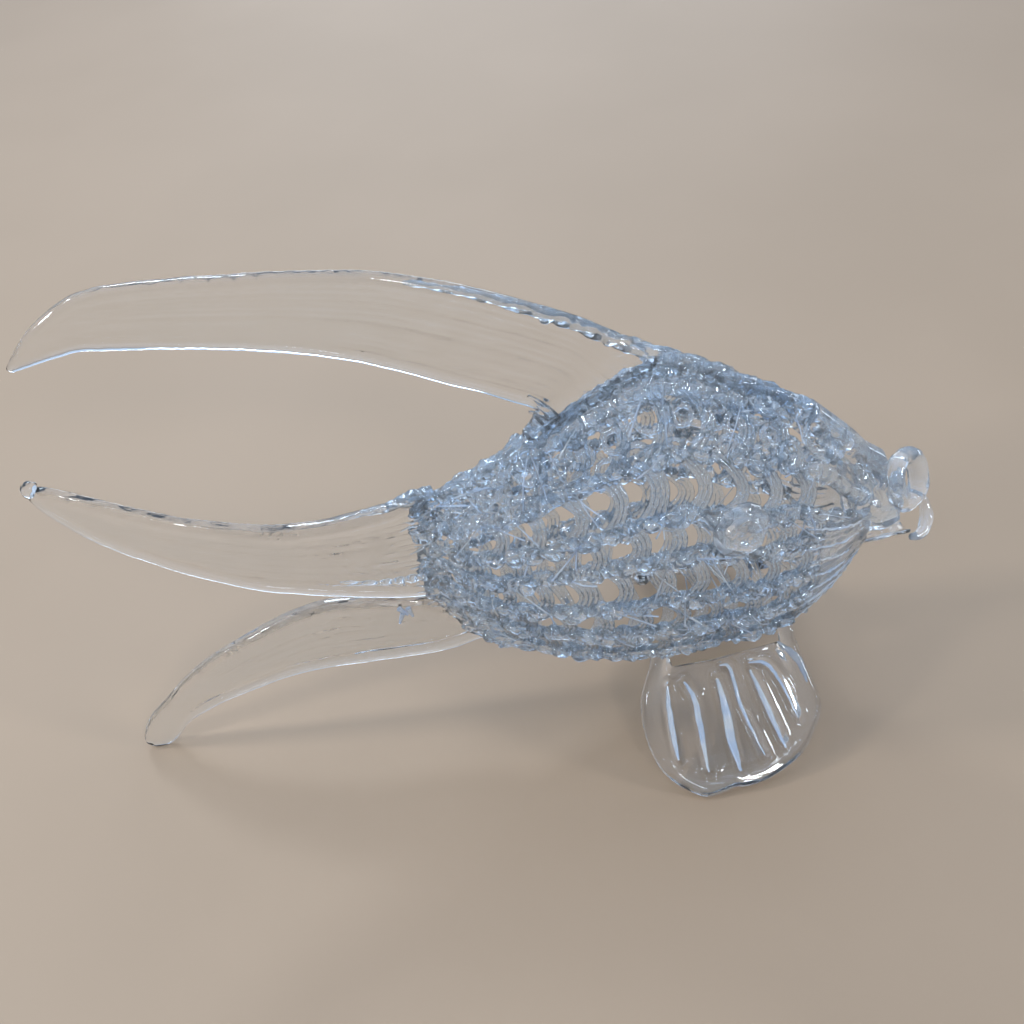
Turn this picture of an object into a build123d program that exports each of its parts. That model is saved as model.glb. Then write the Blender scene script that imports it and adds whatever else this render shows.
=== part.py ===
from build123d import *
import os
from math import cos, pi, radians, sin

# Spun-glass angelfish, in millimetres. +X points to the head, +Z up, and the table is at Z = 0.
# The right side of the fish is at -Y, and the left side is its mirror image.

# Body: the net's outer surface
body_length = 58.5
body_height = 51.2
body_half_width = 12.8
belly_clearance = 7.4
tail_root_x = -12.0

# Rods of the net
rod_radius = 1.45
rod_neck_radius = 1.15
rod_end_radius = 0.8
rod_taper_length = 12.0
ridge_radius = 1.55
belly_rod_radius = 1.5
forehead_radius = 1.85
rod_sides = 6
ridge_sides = 8
forehead_steps = 3

# Strands between the rods
loop_pitch = 4.6
strand_end_width = 2.5
strand_waist_width = 1.8
strand_depth = 1.35
strand_lean = 0.6
strand_sides = 4

# Gather at the root of the tail
root_length = 2.8
root_half_width = 3.4
root_sides = 10

# Dorsal fin, its leading strand and the points behind its root
dorsal_length = 64.0
dorsal_rise = 24.6
dorsal_thickness = 2.8
blade_rim = 1.0
blade_steps = 15
crest_front_radius = 0.9
crest_radius = 1.35
crest_tip_radius = 0.4
spine_radius = 0.95
spine_tip_radius = 0.25

# Tail lobes
tail_length = 44.0
tail_height = 52.6
tail_thickness = 3.0
bead_radius = 1.2
bead_sides = 8
thread_radius = 0.75
thread_tip_radius = 0.2

# Pelvic fins: flat discs that slope down and outwards
pelvic_width = 23.8
pelvic_length = 18.6
pelvic_thickness = 2.3
pelvic_bevel = 0.55
pelvic_splay = 45.0
pelvic_root_y = 8.0
pelvic_steps = 39
flute_width = 2.1
flute_depth = 0.7
foot_flat = 0.25

# Eyes
eye_width = 7.8
eye_thickness = 2.5
eye_lift = 1.1
eye_sides = 12

# Mouth, lips, jaw and chin
mouth_height = 11.4
mouth_half_width = 4.6
mouth_sides = 10
lip_radius = 0.9
lip_steps = 7
upper_lip_radius = 3.2
upper_lip_y = -0.4
upper_lip_z = 33.9
upper_lip_tilt = 22.0
lower_lip_radius = 2.9
lower_lip_y = -2.0
lower_lip_z = 29.0
lower_lip_tilt = 35.0
lower_lip_open = 50.0
lower_lip_close = 220.0
lip_turn = -50.0
lower_lip_steps = 9
half_turn = 180.0
jaw_wall = 1.4
jaw_steps = 2
jaw_turns = 4
chin_wall = 0.7
chin_steps = 2
chin_sides = 4
table_depth = 4.0

# Heights and half widths of the body at even stations from the tail to the mouth
ridge_shares = (0.668, 0.725, 0.785, 0.865, 0.941, 1.0, 0.973, 0.908, 0.836, 0.721, 0.594)
belly_shares = (0.305, 0.141, 0.09, 0.049, 0.018, 0.0, 0.01, 0.012, 0.035, 0.152, 0.363)
width_shares = (0.234, 0.492, 0.707, 0.867, 0.957, 1.0, 0.977, 0.891, 0.734, 0.531, 0.359)
upper_fullness_share = 1.5
lower_fullness_share = 1.15
probe_share = 0.004

# Places along the body, from the tail (0) to the mouth (1)
root_front_share = 0.0308
short_rod_rear_share = 0.1795
short_rod_front_share = 0.8034
row_rear_share = 0.0769
row_front_share = 0.8444
cheek_bend_share = 0.7863
ridge_front_share = 0.8376
forehead_front_share = 1.0085
jaw_rear_share = 0.8479
jaw_front_share = 0.9675
mouth_rear_share = 0.9333
mouth_front_share = 1.0427
upper_lip_share = 1.0634
lower_lip_share = 1.0752
chin_front_share = 1.07
dorsal_root_share = 0.4171
dorsal_root_rise_share = 0.8926
pelvic_root_share = 0.6479
eye_share = 0.6496

# Places of the rods round the side, from the ridge (0) to the belly (1)
row_shares = (0.0, 0.105, 0.25, 0.365, 0.44, 0.54, 0.63, 0.75, 1.0)
cheek_drop_share = 0.05
eye_turn_share = 0.385
jaw_top_share = 0.43
belly_landing_share = 0.965

# Sections of the rods, strands and smooth masses, in shares of their own sizes
uneven_share = 0.08
bulge_share = 0.27
strand_shares = (0.0, 0.33, 0.67, 1.0)
forehead_slant_share = 1.35
root_width_shares = (0.5, 0.8, 1.0)
mouth_shares = ((0.0, 0.95, 1.0), (0.35, 1.0, 0.95), (0.7, 0.9, 0.8), (1.0, 0.7, 0.6))
eye_dome_shares = ((-0.3, 0.6), (0.0, 0.98), (0.25, 0.9), (0.5, 0.66), (0.65, 0.3))
bead_turn_shares = (-0.4, -0.15, 0.15, 0.4)
lower_lip_end_share = 0.45
chin_turn_share = 0.35
chin_narrow_share = 0.1
blade_thickness_shares = (1.0, 0.95, 0.9, 0.85, 0.8, 0.75, 0.7, 0.65, 0.6, 0.55)
crest_middle_share = 0.4
flute_end_share = 0.4

# Outlines of the blades: along and up for the upper edge, then along and up for the lower edge
dorsal_shares = (
    (-0.084, 0.275, 0.144, -0.105),
    (0.0, 0.451, 0.119, 0.0),
    (0.067, 0.561, 0.186, 0.118),
    (0.18, 0.711, 0.27, 0.236),
    (0.289, 0.829, 0.352, 0.35),
    (0.397, 0.911, 0.431, 0.451),
    (0.6, 0.976, 0.591, 0.581),
    (0.806, 1.0, 0.831, 0.687),
    (0.922, 0.862, 0.898, 0.683),
    (0.997, 0.667, 0.991, 0.634),
)
upper_lobe_shares = (
    (0.0, 0.81, 0.0, 0.46),
    (0.177, 0.778, 0.157, 0.487),
    (0.348, 0.772, 0.327, 0.525),
    (0.482, 0.795, 0.491, 0.572),
    (0.634, 0.84, 0.645, 0.648),
    (0.775, 0.903, 0.761, 0.722),
    (0.886, 0.962, 0.868, 0.81),
    (0.952, 0.992, 0.95, 0.901),
    (0.982, 0.992, 0.984, 0.962),
)
lower_lobe_shares = (
    (-0.03, 0.41, -0.125, 0.268),
    (0.06, 0.468, 0.02, 0.242),
    (0.257, 0.494, 0.273, 0.24),
    (0.398, 0.479, 0.409, 0.236),
    (0.57, 0.413, 0.534, 0.215),
    (0.759, 0.314, 0.714, 0.16),
    (0.914, 0.19, 0.862, 0.09),
    (0.986, 0.125, 0.923, 0.023),
    (1.03, 0.057, 0.959, -0.01),
    (1.034, 0.02, 1.009, -0.01),
)

# Leading strand of the dorsal fin: along and up, in the shares of the dorsal fin
crest_shares = (
    (-0.385, -0.2),
    (-0.285, -0.045),
    (-0.205, 0.09),
    (-0.14, 0.185),
    (-0.067, 0.29),
    (0.0, 0.405),
    (0.067, 0.515),
    (0.16, 0.642),
    (0.24, 0.74),
    (0.32, 0.815),
)
thread_shares = ((0.0, 0.465), (0.08, 0.475), (0.2, 0.485), (0.33, 0.468))
spine_shares = (
    (0.1, -0.16, 0.2, -0.115),
    (0.11, 0.0, 0.215, 0.0),
)

# Pelvic fin outline and flutes: across and down, in shares of its width and length
pelvic_round_shares = (
    (-0.425, -0.02),
    (-0.513, 0.262),
    (-0.5, 0.581),
    (-0.412, 0.837),
    (-0.256, 1.0),
    (-0.168, 1.0),
    (-0.05, 0.965),
    (0.004, 0.975),
    (0.151, 0.93),
    (0.34, 0.785),
    (0.441, 0.605),
    (0.487, 0.459),
    (0.462, 0.256),
    (0.395, -0.03),
)
pelvic_neck_shares = (
    (0.395, -0.26),
    (0.335, -0.26),
    (0.32, -0.045),
    (0.17, -0.02),
    (-0.08, 0.02),
    (-0.32, 0.03),
    (-0.35, -0.18),
    (-0.41, -0.18),
)
pelvic_middle_share = 0.4
flute_shares = (
    (-0.345, 0.17, -0.36, 0.8),
    (-0.24, 0.16, -0.19, 0.89),
    (-0.07, 0.16, -0.01, 0.88),
    (0.035, 0.14, 0.14, 0.84),
    (0.13, 0.14, 0.265, 0.76),
    (0.225, 0.1, 0.36, 0.56),
)


def smooth(shares, along):
    # smooth value of a table of even stations; along runs from 0 to 1
    place = min(max(along, 0), 1) * (len(shares) - 1)
    i = min(int(place), len(shares) - 2)
    f = place - i
    a, b, c, d = (shares[min(max(i + k, 0), len(shares) - 1)] for k in (-1, 0, 1, 2))
    bend = f**2 * (2 * a - 5 * b + 4 * c - d) / 2 + f**3 * (3 * b - a - 3 * c + d) / 2
    return b + f * (c - a) / 2 + bend


def smooth_rows(table, steps):
    # more rows for a table, on a smooth line through the rows that it has
    columns = list(zip(*table))
    return [[smooth(column, k / steps) for column in columns] for k in range(steps + 1)]


def station(share):
    return tail_root_x + body_length * share


def skin(x, turn):
    # point in the middle of the net's right side; turn runs from the ridge (0) to the belly (1)
    along = (x - tail_root_x) / body_length
    top = belly_clearance + body_height * smooth(ridge_shares, along) - rod_radius
    bottom = belly_clearance + body_height * smooth(belly_shares, along) + rod_radius
    half_width = body_half_width * smooth(width_shares, along) - rod_radius
    fullness = upper_fullness_share if turn < 0.5 else lower_fullness_share
    z = top - (top - bottom) * (1 - cos(pi * turn)) / 2
    return Vector(x, -half_width * abs(sin(pi * turn)) ** fullness, z)


def outward(x, turn):
    # unit vector square to the net's right side
    step = body_length * probe_share
    forward = skin(x + step, turn) - skin(x - step, turn)
    around = skin(x, min(turn + probe_share, 1)) - skin(x, max(turn - probe_share, 0))
    return around.cross(forward).normalized()


def ring(point, across, up, width, height, sides):
    # corners of an even polygon that is stretched to a width and a height
    turns = [(k + 0.5) * 2 * pi / sides for k in range(sides)]
    return [point + across * (width / 2 * cos(a)) + up * (height / 2 * sin(a)) for a in turns]


def facets(rings, alike=True):
    # closed solid with flat faces through rings of corners
    # rings that are alike and lie in parallel planes are joined by four-sided faces, and others by triangles
    faces = [Face(Wire.make_polygon(rings[0])), Face(Wire.make_polygon(rings[-1]))]
    for here, there in zip(rings, rings[1:]):
        for k in range(len(here)):
            side = (here[k - 1], here[k], there[k], there[k - 1])
            for corners in (side,) if alike else (side[:3], (side[0], side[2], side[3])):
                faces.append(Face(Wire.make_polygon(corners)))
    return Solid(Shell(faces))


def largest(shape):
    return max(shape.solids(), key=lambda solid: solid.volume)


def cut(shape, *others):
    for other in others:
        shape = shape - other
    return largest(shape)


def mirrored(shape):
    return mirror(shape, about=Plane.XZ).solid()


def rod(rear, front, turn_at, lump_radius, number, sides=rod_sides):
    # lumpy rod along the skin, in cross sections a half pitch apart
    steps = max(round((front - rear) / half_pitch), 2)
    rings = []
    for k in range(steps + 1):
        x = rear + (front - rear) * k / steps
        uneven = 1 + uneven_share * sin(k * number + number)
        full = (lump_radius if (k + number) % 2 else rod_neck_radius) * uneven
        inside = min((x - rear) / rod_taper_length, (front - x) / rod_taper_length, 1)
        radius = rod_end_radius + (full - rod_end_radius) * inside
        rings.append(ring(skin(x, turn_at(x)), side_way, up, 2 * radius, 2 * radius, sides))
    return facets(rings)


forward = Vector(1, 0, 0)
side_way = Vector(0, 1, 0)
up = Vector(0, 0, 1)
half_pitch = loop_pitch / 2
root_front_x = station(root_front_share)
jaw_rear_x = station(jaw_rear_share)
jaw_front_x = station(jaw_front_share)
mouth_rear_x = station(mouth_rear_share)
ridge_front_x = station(ridge_front_share)
pieces = {}

# Gather at the root of the tail: the rods end on its front face
root_rings = []
for k, share in enumerate(root_width_shares):
    x = root_front_x - root_length * (1 - k / (len(root_width_shares) - 1))
    top = skin(x, 0) + up * ridge_radius
    bottom = skin(x, 1) - up * belly_rod_radius
    middle = (top + bottom) / 2
    width = 2 * root_half_width * share
    root_rings.append(ring(middle, side_way, up, width, (top - bottom).length, root_sides))
pieces["tail_root"] = facets(root_rings, alike=False)

# Ridge, belly and forehead
pieces["ridge_rod"] = rod(root_front_x, ridge_front_x, lambda x: 0, ridge_radius, 1, ridge_sides)
pieces["belly_rod"] = rod(root_front_x, jaw_rear_x, lambda x: 1, belly_rod_radius, 2)
forehead_rings = []
for k in range(forehead_steps + 1):
    x = ridge_front_x + (station(forehead_front_share) - ridge_front_x) * k / forehead_steps
    height = 2 * forehead_radius * forehead_slant_share
    forehead_rings.append(ring(skin(x, 0), side_way, up, 2 * forehead_radius, height, ridge_sides))
pieces["forehead_rod"] = facets(forehead_rings)

# Lower jaw: two curved plates that carry the skin on towards the mouth and meet underneath
jaw_rings = []
for k in range(jaw_steps + 1):
    x = jaw_rear_x + (jaw_front_x - jaw_rear_x) * k / jaw_steps
    side = [skin(x, jaw_top_share + (1 - jaw_top_share) * i / jaw_turns) for i in range(jaw_turns + 1)]
    outer = [point - side_way * (jaw_wall / 2) for point in side[:-1]] + [side[-1] - up * (jaw_wall / 2)]
    inner = [point + side_way * (jaw_wall / 2) + up * (jaw_wall / 2) for point in side[:-1]]
    inner.append(side[-1] + up * jaw_wall)
    jaw_rings.append(outer + list(reversed(inner)))
right_jaw = facets(jaw_rings, alike=False)
pieces["right_jaw_plate"] = right_jaw
pieces["left_jaw_plate"] = mirrored(right_jaw)
jaws = (right_jaw, pieces["left_jaw_plate"])

# Mouth root: the smooth mass between the forehead rod and the lips
mouth_rings = []
for share, wide_share, tall_share in mouth_shares:
    x = mouth_rear_x + (station(mouth_front_share) - mouth_rear_x) * share
    middle = skin(x, 0) - up * (mouth_height / 2)
    width = 2 * mouth_half_width * wide_share
    mouth_rings.append(ring(middle, side_way, up, width, mouth_height * tall_share, mouth_sides))
pieces["mouth_root"] = cut(facets(mouth_rings, alike=False), pieces["forehead_rod"], *jaws)


def row_turn(row):
    # the two upper rods bend down in front, where they run into the mouth
    def turn_at(x):
        bend = max(x - station(cheek_bend_share), 0) / (mouth_rear_x - station(cheek_bend_share))
        return row_shares[row] + (cheek_drop_share * bend if row in (2, 3) else 0)

    return turn_at


# Row rods of the right side, from the ridge down to the belly
row_rods = [pieces["ridge_rod"]]
for row in range(1, len(row_shares) - 1):
    rear, front = root_front_x, jaw_rear_x
    if row == 1:
        rear, front = station(short_rod_rear_share), station(short_rod_front_share)
    elif row < 4:
        front = mouth_rear_x
    row_rods.append(cut(rod(rear, front, row_turn(row), rod_radius, row), row_rods[-1], right_jaw))
row_rods.append(pieces["belly_rod"])
for row in range(1, len(row_shares) - 1):
    pieces[f"right_row_rod_{row}"] = row_rods[row]
    pieces[f"left_row_rod_{row}"] = mirrored(row_rods[row])


def strand(x, upper_turn, lower_turn, number):
    # leaves one rod, bows towards the head and lands on the next rod
    height = (skin(x, lower_turn) - skin(x, upper_turn)).length
    out = outward(x, (upper_turn + lower_turn) / 2)
    rings = []
    for share in strand_shares:
        place = x + strand_lean * (share - 0.5) + height * bulge_share * sin(pi * share)
        uneven = 1 + uneven_share * sin(number * 2 + share)
        width = (strand_end_width if share in (0, 1) else strand_waist_width) * uneven
        depth = strand_depth * width / strand_waist_width
        point = skin(place, upper_turn + (lower_turn - upper_turn) * share)
        rings.append(ring(point, forward, out, width, depth, strand_sides))
    return facets(rings)


scale_rows = []
for row in range(1, len(row_shares) - 1):
    rear, front = station(row_rear_share), station(row_front_share)
    if row == 1:
        rear = station(short_rod_rear_share) + half_pitch
        front = station(short_rod_front_share) - half_pitch
    if row_shares[row + 1] > jaw_top_share:
        # the rows beside the jaw plates stop where a strand's bow would reach them
        height = (skin(jaw_rear_x, row_shares[row + 1]) - skin(jaw_rear_x, row_shares[row])).length
        front = min(front, jaw_rear_x - height * bulge_share - strand_end_width / 2)
    x = rear + (half_pitch if row % 2 else 0)
    strands = []
    while x < front:
        landing = min(row_shares[row + 1], belly_landing_share)
        raw = strand(x, row_shares[row], landing, len(strands) + row)
        strands.append(cut(raw, row_rods[row], row_rods[row + 1]))
        x += loop_pitch
    scale_rows.append(strands)
    pieces[f"right_scale_row_{row}"] = Compound(strands)
    pieces[f"left_scale_row_{row}"] = Compound([mirrored(s) for s in strands])


def blade(place, table, thickness):
    # flat blade with blunt rims, from sections that each join an upper and a lower edge point
    rings = []
    for k, (a, b, c, d) in enumerate(smooth_rows(table, blade_steps)):
        upper, lower = place(a, b), place(c, d)
        middle, way = (upper + lower) / 2, (upper - lower).normalized()
        height = (upper - lower).length
        rim = min(blade_rim, height / 2)
        wide = max(thickness * smooth(blade_thickness_shares, k / blade_steps), rim)
        half = [(height / 2, rim / 2), (height / 4, wide / 2)]
        half += [(-along, aside) for along, aside in reversed(half)]
        corners = half + [(along, -aside) for along, aside in reversed(half)]
        rings.append([middle + way * along + side_way * aside for along, aside in corners])
    return facets(rings, alike=False)


def dorsal_place(along_share, rise_share):
    root_z = belly_clearance + body_height * dorsal_root_rise_share
    x = station(dorsal_root_share) - dorsal_length * along_share
    return Vector(x, 0, root_z + dorsal_rise * rise_share)


def tail_place(along_share, rise_share):
    return Vector(tail_root_x - tail_length * along_share, 0, tail_height * rise_share)


def path_rod(points, widths, first_up=up):
    # rod along a free path, with sections square to it
    rings = []
    last = len(points) - 1
    for i, point in enumerate(points):
        ahead = (points[min(i + 1, last)] - points[max(i - 1, 0)]).normalized()
        across = first_up.cross(ahead).normalized()
        rings.append(ring(point, across, ahead.cross(across), widths[i], widths[i], rod_sides))
    return facets(rings, alike=False)


# Dorsal fin, with its leading strand climbing the ridge and the points behind its root
crest_points = [dorsal_place(along, rise) for along, rise in crest_shares]
crest_widths = []
for k in range(len(crest_points)):
    share = k / (len(crest_points) - 1)
    end_radius = crest_front_radius if share < crest_middle_share else crest_tip_radius
    reach = abs(share - crest_middle_share) / max(crest_middle_share, 1 - crest_middle_share)
    crest_widths.append(2 * (crest_radius + (end_radius - crest_radius) * reach))
crest = path_rod(crest_points, crest_widths, side_way)
pieces["dorsal_crest"] = cut(crest, pieces["ridge_rod"], pieces["forehead_rod"])
fin = blade(dorsal_place, dorsal_shares, dorsal_thickness)
fin = cut(fin, pieces["ridge_rod"], pieces["dorsal_crest"])
pieces["dorsal_fin"] = cut(fin, row_rods[1], pieces["left_row_rod_1"])
spines = []
for a, b, c, d in spine_shares:
    tip, foot = dorsal_place(c, d), dorsal_place(a, b)
    widths = [2 * spine_radius, spine_radius, 2 * spine_tip_radius]
    spine = path_rod([foot, (foot + tip) / 2, tip], widths, side_way)
    spines.append(cut(spine, pieces["ridge_rod"], pieces["dorsal_fin"]))
pieces["dorsal_spines"] = Compound(spines)

# Tail lobes: the lower one stands on the table with its cut tip
below = (Align.CENTER, Align.CENTER, Align.MAX)
table_length = 4 * (tail_length + body_length)
table = Plane.XY * Box(table_length, 4 * (pelvic_length + body_half_width), table_depth, align=below)
upper_lobe = blade(tail_place, upper_lobe_shares, tail_thickness)
pieces["upper_tail_lobe"] = cut(upper_lobe, pieces["tail_root"])
lower_lobe = blade(tail_place, lower_lobe_shares, tail_thickness)
lower_lobe = cut(lower_lobe, table, pieces["tail_root"], pieces["upper_tail_lobe"], pieces["belly_rod"])
pieces["lower_tail_lobe"] = cut(lower_lobe, row_rods[7], pieces["left_row_rod_7"])
bead_center = tail_place(*upper_lobe_shares[-1][:2])
bead_rings = []
for turn_share in bead_turn_shares:
    width = 2 * bead_radius * cos(pi * turn_share)
    level = bead_center + up * (bead_radius * sin(pi * turn_share))
    bead_rings.append(ring(level, forward, side_way, width, width, bead_sides))
pieces["upper_tail_bead"] = cut(facets(bead_rings), pieces["upper_tail_lobe"])
thread_points = []
for along, rise in thread_shares:
    thread_points.append(tail_place(along, rise) - side_way * (tail_thickness / 2 + thread_radius / 2))
thread_widths = [2 * thread_radius, 2 * thread_radius, thread_radius, 2 * thread_tip_radius]
thread = path_rod(thread_points, thread_widths)
pieces["tail_thread"] = cut(thread, pieces["tail_root"], pieces["upper_tail_lobe"], pieces["lower_tail_lobe"])

# Pelvic fin: a pressed disc on two necks, with a bevelled rim and flutes fanned over its outer face
splay = radians(pelvic_splay)
down = Vector(0, -cos(splay), -sin(splay))
pelvic_root = Vector(station(pelvic_root_share), -pelvic_root_y, pelvic_length * sin(splay) - foot_flat)
pelvic_out = forward.cross(down) * -1


def pelvic_place(across_share, down_share):
    return pelvic_root + forward * (pelvic_width * across_share) + down * (pelvic_length * down_share)


outline = [pelvic_place(a, b) for a, b in smooth_rows(pelvic_round_shares, pelvic_steps)]
outline += [pelvic_place(a, b) for a, b in pelvic_neck_shares]
pelvic_middle = pelvic_place(0, pelvic_middle_share)
inset = 1 - pelvic_bevel / (pelvic_width / 2)
small = [pelvic_middle + (point - pelvic_middle) * inset for point in outline]
pelvic_rings = []
for corners, level in (
    (small, pelvic_thickness / 2),
    (outline, pelvic_thickness / 2 - pelvic_bevel),
    (outline, pelvic_bevel - pelvic_thickness / 2),
    (small, -pelvic_thickness / 2),
):
    pelvic_rings.append([point + pelvic_out * level for point in corners])
disc = facets(pelvic_rings)
for x1, y1, x2, y2 in flute_shares:
    ends = (pelvic_place(x1, y1), pelvic_place(x2, y2))
    line = (ends[1] - ends[0]).normalized()
    lift = pelvic_out * (pelvic_thickness / 2 + flute_width / 2 - flute_depth)
    stops = [ends[0], ends[0] + line * flute_width, ends[1] - line * flute_width, ends[1]]
    widths = [flute_width * flute_end_share, flute_width, flute_width, flute_width * flute_end_share]
    across = line.cross(pelvic_out)
    rings = [ring(stop + lift, across, pelvic_out, w, w, rod_sides) for stop, w in zip(stops, widths)]
    disc = disc - facets(rings)
right_pelvic = cut(disc, table, *row_rods[6:], *scale_rows[-1], *scale_rows[-2])
pieces["right_pelvic_fin"] = right_pelvic
pieces["left_pelvic_fin"] = mirrored(right_pelvic)

# Eyes: flat-backed domes melted on to the net
eye_x = station(eye_share)
eye_out = outward(eye_x, eye_turn_share)
eye_plane = Plane(skin(eye_x, eye_turn_share) + eye_out * eye_lift, x_dir=forward, z_dir=eye_out)
eye_rings = []
for rise_share, wide_share in eye_dome_shares:
    width = eye_width * wide_share
    center = eye_plane.origin + eye_out * (eye_thickness * rise_share)
    eye_rings.append(ring(center, eye_plane.x_dir, eye_plane.y_dir, width, width, eye_sides))
right_eye = cut(facets(eye_rings), row_rods[3], row_rods[4], *scale_rows[1], *scale_rows[2])
pieces["right_eye"] = right_eye
pieces["left_eye"] = mirrored(right_eye)


def lip(center, radius, tilt, first, last, steps, end_share):
    # bent rod in a plane that is turned towards the right side and leans back by the tilt
    lean, swing = radians(tilt), radians(lip_turn)
    ahead = Vector(cos(swing), sin(swing), 0)
    aside = Vector(-sin(swing), cos(swing), 0)
    rise = up * cos(lean) - ahead * sin(lean)
    rings = []
    for k in range(steps + 1):
        a = radians(first + (last - first) * k / steps)
        spoke = aside * sin(a) + rise * cos(a)
        thick = 2 * lip_radius * (end_share + (1 - end_share) * sin(pi * k / steps))
        rings.append(ring(center + spoke * radius, spoke, aside.cross(rise), thick, thick, rod_sides))
    return facets(rings, alike=False)


# Lips: a full loop above and an open crescent below, both turned a little to the right
upper_center = Vector(station(upper_lip_share), upper_lip_y, upper_lip_z)
upper_size = (upper_center, upper_lip_radius, upper_lip_tilt)
upper_half = lip(*upper_size, -half_turn / 2, half_turn / 2, lip_steps, 1)
lower_half = lip(*upper_size, half_turn / 2, half_turn * 3 / 2, lip_steps, 1)
pieces["upper_lip"] = cut(upper_half + lower_half, pieces["mouth_root"], pieces["forehead_rod"])
lower_center = Vector(station(lower_lip_share), lower_lip_y, lower_lip_z)
turns = (lower_lip_open, lower_lip_close)
crescent = lip(lower_center, lower_lip_radius, lower_lip_tilt, *turns, lower_lip_steps, lower_lip_end_share)
pieces["lower_lip"] = cut(crescent, pieces["upper_lip"], pieces["mouth_root"])

# Chin: a film of glass from the jaw to the lower lip
jaw_low = skin(jaw_front_x, 1)
lip_low = Vector(station(chin_front_share), 0, lower_lip_z - lower_lip_radius - lip_radius)
chin_rings = []
for k in range(chin_steps + 1):
    low = jaw_low + (lip_low - jaw_low) * (k / chin_steps)
    half_width = mouth_half_width * (1 - chin_narrow_share * k / chin_steps)
    turns = [pi * chin_turn_share * (2 * i / chin_sides - 1) for i in range(chin_sides + 1)]
    outer = [low + (side_way * sin(a) + up * (1 - cos(a))) * half_width for a in turns]
    inner = [point + up * chin_wall for point in outer]
    chin_rings.append(outer + list(reversed(inner)))
pieces["chin"] = cut(facets(chin_rings, alike=False), *jaws, pieces["lower_lip"], pieces["mouth_root"])

# The origin lies on the table, under the middle of the figurine's length
box = Compound(list(pieces.values())).bounding_box()
middle_x = (box.min.X + box.max.X) / 2
os.makedirs("parts", exist_ok=True)
for name, shape in pieces.items():
    export_step(Pos(-middle_x, 0, 0) * shape, f"parts/{name}.step")
print("Moved along X by", round(-middle_x, 3))
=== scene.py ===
from math import cos, pi, radians, sin
from random import Random

import bmesh
import bpy
from mathutils import Matrix, Vector, noise


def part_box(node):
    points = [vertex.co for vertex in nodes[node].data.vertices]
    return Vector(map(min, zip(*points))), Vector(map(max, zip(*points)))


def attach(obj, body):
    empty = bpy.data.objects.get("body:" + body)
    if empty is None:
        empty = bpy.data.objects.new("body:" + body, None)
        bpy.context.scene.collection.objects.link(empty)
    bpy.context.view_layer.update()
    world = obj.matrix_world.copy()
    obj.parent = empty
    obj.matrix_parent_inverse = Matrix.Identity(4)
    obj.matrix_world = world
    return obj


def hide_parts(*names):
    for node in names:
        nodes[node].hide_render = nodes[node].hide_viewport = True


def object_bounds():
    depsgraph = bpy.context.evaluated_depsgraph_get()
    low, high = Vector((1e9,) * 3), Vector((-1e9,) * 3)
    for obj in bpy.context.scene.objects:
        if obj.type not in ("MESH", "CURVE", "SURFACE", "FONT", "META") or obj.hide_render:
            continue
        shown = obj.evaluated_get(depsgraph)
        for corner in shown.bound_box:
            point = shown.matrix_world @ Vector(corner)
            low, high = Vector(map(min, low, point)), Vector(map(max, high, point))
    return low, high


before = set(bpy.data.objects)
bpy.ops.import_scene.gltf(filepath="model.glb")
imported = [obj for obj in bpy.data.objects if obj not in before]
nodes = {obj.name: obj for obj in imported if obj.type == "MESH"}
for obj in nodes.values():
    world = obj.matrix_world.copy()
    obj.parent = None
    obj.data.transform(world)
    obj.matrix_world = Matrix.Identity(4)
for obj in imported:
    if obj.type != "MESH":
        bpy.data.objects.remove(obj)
cadBox = [list(corner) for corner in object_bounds()]
print("frame loaded,", len(nodes), "nodes")

mm = 0.001  # shapes are worked out in millimetres and end in metres
scene = bpy.context.scene
sideWay = Vector((0, 1, 0))
upWay = Vector((0, 0, 1))
foreWay = Vector((1, 0, 0))


# Shader maths: a socket that can be added, multiplied and mixed

class Value:
    def __init__(self, tree, socket):
        self.tree = tree
        self.socket = socket

    def math(self, operation, *others):
        return self.tree.node("ShaderNodeMath", dict(operation=operation), self, *others)

    def __add__(self, other):
        return self.math("ADD", other)

    __radd__ = __add__

    def __mul__(self, other):
        return self.math("MULTIPLY", other)

    __rmul__ = __mul__

    def __sub__(self, other):
        return self.math("SUBTRACT", other)

    def __rsub__(self, other):
        return self.tree.node("ShaderNodeMath", dict(operation="SUBTRACT"), other, self)


class Tree:
    def __init__(self, owner):
        owner.use_nodes = True
        self.nodes = owner.node_tree.nodes
        self.links = owner.node_tree.links
        self.nodes.clear()

    def node(self, kind, settings=None, *values, out=0, **named):
        made = self.nodes.new(kind)
        for key, setting in (settings or {}).items():
            setattr(made, key, setting)
        pairs = list(enumerate(values)) + [(key.replace("_", " "), value) for key, value in named.items()]
        for key, value in pairs:
            target = made.inputs[key]
            if isinstance(value, Value):
                self.links.new(value.socket, target)
            else:
                target.default_value = value
        return Value(self, made.outputs[out]) if made.outputs else made

    def ramp(self, value, stops):
        made = self.nodes.new("ShaderNodeValToRGB")
        made.color_ramp.interpolation = "EASE"
        while len(made.color_ramp.elements) < len(stops):
            made.color_ramp.elements.new(0.5)
        for element, (place, shade) in zip(made.color_ramp.elements, stops):
            element.position = place
            element.color = (*shade, 1)
        self.links.new(value.socket, made.inputs["Fac"])
        return Value(self, made.outputs["Color"])

    def place(self, scale=(1, 1, 1)):
        here = self.node("ShaderNodeTexCoord", None, out="Object")
        return self.node("ShaderNodeMapping", None, Vector=here, Scale=scale)

    def noise(self, stretch, scale, detail=2.0):
        return self.node("ShaderNodeTexNoise", None, Vector=self.place(stretch), Scale=scale, Detail=detail)


mix = dict(deepAt=0.3, paleAt=0.7, cloudDetail=3.0, seedReach=0.12)


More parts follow.
